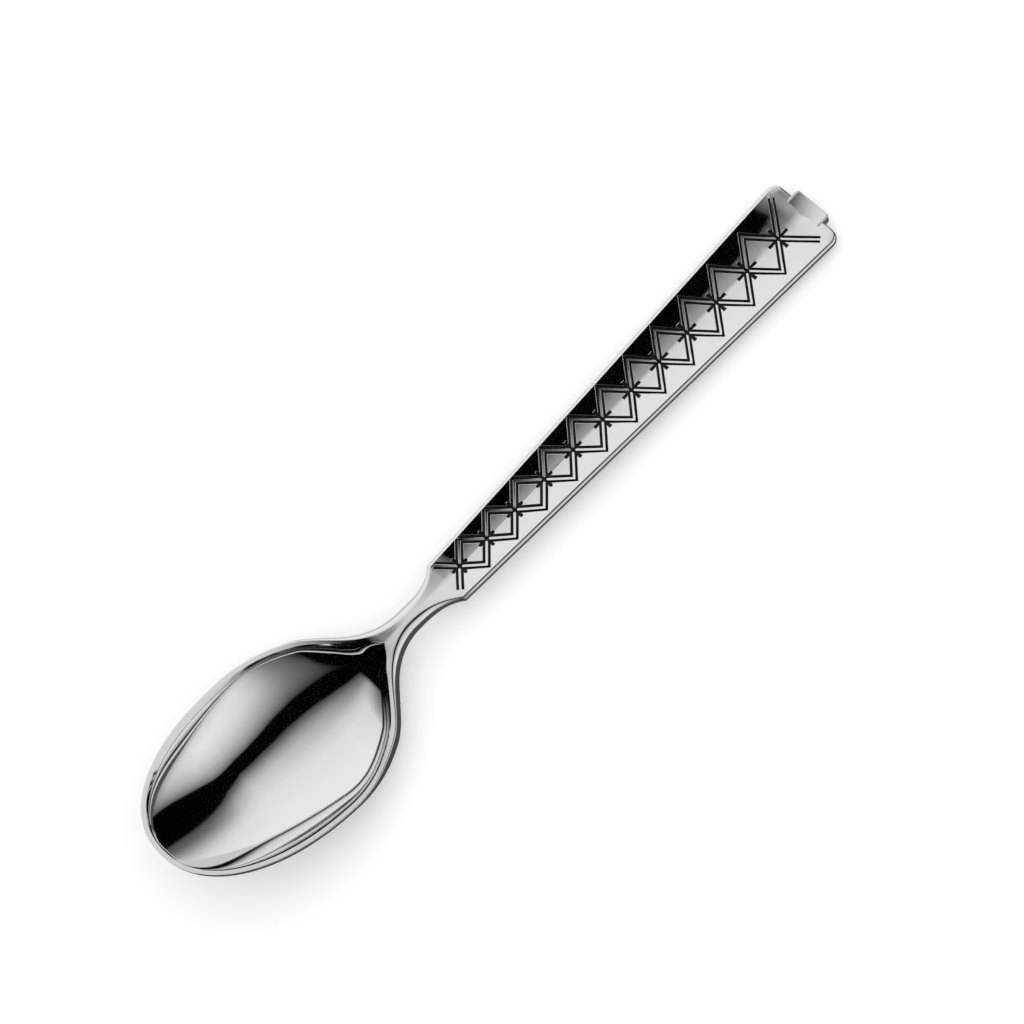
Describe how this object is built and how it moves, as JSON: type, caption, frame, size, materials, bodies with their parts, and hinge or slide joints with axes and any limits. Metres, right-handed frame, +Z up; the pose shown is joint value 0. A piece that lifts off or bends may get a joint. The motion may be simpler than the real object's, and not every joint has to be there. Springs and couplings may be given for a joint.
{
  "type": "coffee spoon",
  "caption": "Small one-piece metal spoon with a deep egg-shaped bowl, a waisted neck and a widening straight handle engraved with a band of diamonds.",
  "frame": {"origin": "centre of the bounding box, on the table plane under the spoon as it lies at rest", "axes": "+X along the spoon from the tip of the bowl to the end of the handle, +Z up with the bowl open upwards, +Y to the side"},
  "size_m": [0.115, 0.024, 0.0119],
  "materials": {
    "silver": "polished silver-coloured metal with fine scratches and dark oxidised engraving"
  },
  "bodies": {
    "root": {"coffee_spoon": "silver"}
  },
  "joints": []
}
